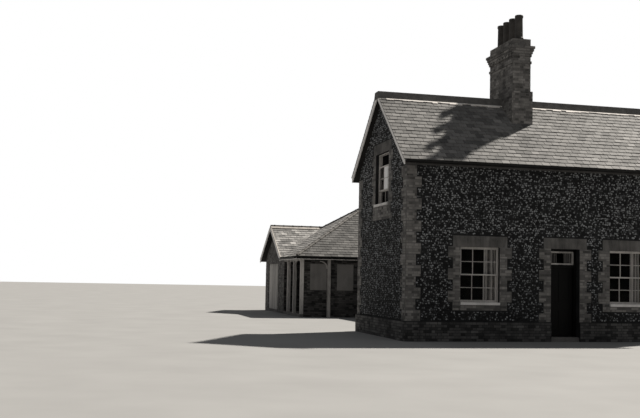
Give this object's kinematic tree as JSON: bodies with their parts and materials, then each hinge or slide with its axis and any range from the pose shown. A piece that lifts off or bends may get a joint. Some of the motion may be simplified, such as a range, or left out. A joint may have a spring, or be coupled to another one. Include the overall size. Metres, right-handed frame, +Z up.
{
  "type": "railway station building",
  "caption": "Old railway station building: flint house with brick dressings, tall chimney and slate roofs, low range with hipped block, double doors and open waiting shelter.",
  "frame": {"origin": "middle of the underside of the house floor, at ground level", "axes": "+X along the house ridge away from the platform, +Y along the platform from the house to the far block, +Z up"},
  "size_m": [9.256, 23.84, 9.59],
  "materials": {
    "flint": "rough flint rubble",
    "brick": "matte brick",
    "slate": "matte slate",
    "ridge_tile": "matte fired clay",
    "pale_paint": "pale oil paint",
    "gutter_iron": "black paint",
    "glass": "clear",
    "sill_stone": "dressed stone",
    "floor_stone": "flagstone",
    "boards": "floor boards",
    "curtain_cloth": "thin cloth",
    "dark_paint": "dark oil paint",
    "poster_board": "bare painted board"
  },
  "bodies": {
    "station_building": {"house_floor": "floor_stone", "upper_floor": "boards", "front_wall_left": "flint", "front_wall_right": "flint", "front_wall_head": "flint", "platform_gable_wall": "flint", "road_gable_wall": "flint", "house_back_wall": "flint", "corner_quoins": "brick", "opening_surrounds": "brick", "house_roof": "slate", "house_ridge": "ridge_tile", "house_bargeboards": "pale_paint", "house_gutters": "gutter_iron", "chimney_stack": "brick", "chimney_pots": "ridge_tile", "house_windows": "pale_paint", "low_windows": "pale_paint", "window_glass": "glass", "window_sills": "sill_stone", "curtains": "curtain_cloth", "front_door_frame": "dark_paint", "low_floor": "floor_stone", "near_wall": "brick", "store_wall_near": "brick", "store_wall_far": "brick", "store_wall_head": "brick", "shelter_back_wall": "brick", "shelter_side_wall": "brick", "far_wall": "brick", "far_end_wall": "brick", "link_platform_wall": "brick", "link_road_wall": "brick", "far_roof": "slate", "link_roof": "slate", "low_ridges": "ridge_tile", "low_bargeboards": "pale_paint", "low_gutters": "gutter_iron", "shelter_posts": "pale_paint", "shelter_beam": "pale_paint", "poster_boards": "poster_board", "store_door_frame": "pale_paint"},
    "front_door": {"front_door": "dark_paint"},
    "store_door_near": {"store_door_near": "pale_paint"},
    "store_door_far": {"store_door_far": "pale_paint"}
  },
  "joints": [
    {"name": "front_door_hinge", "type": "hinge", "parent": "station_building", "child": "front_door", "pos_m": [-0.086, -1.994, 0], "axis": [0, 0, 1], "range_deg": [0, 90]},
    {"name": "store_door_near_hinge", "type": "hinge", "parent": "station_building", "child": "store_door_near", "pos_m": [-3.976, 17.644, 0], "axis": [0, 0, 1], "range_deg": [0, 100]},
    {"name": "store_door_far_hinge", "type": "hinge", "parent": "station_building", "child": "store_door_far", "pos_m": [-3.976, 19.916, 0], "axis": [0, 0, -1], "range_deg": [0, 100]}
  ]
}
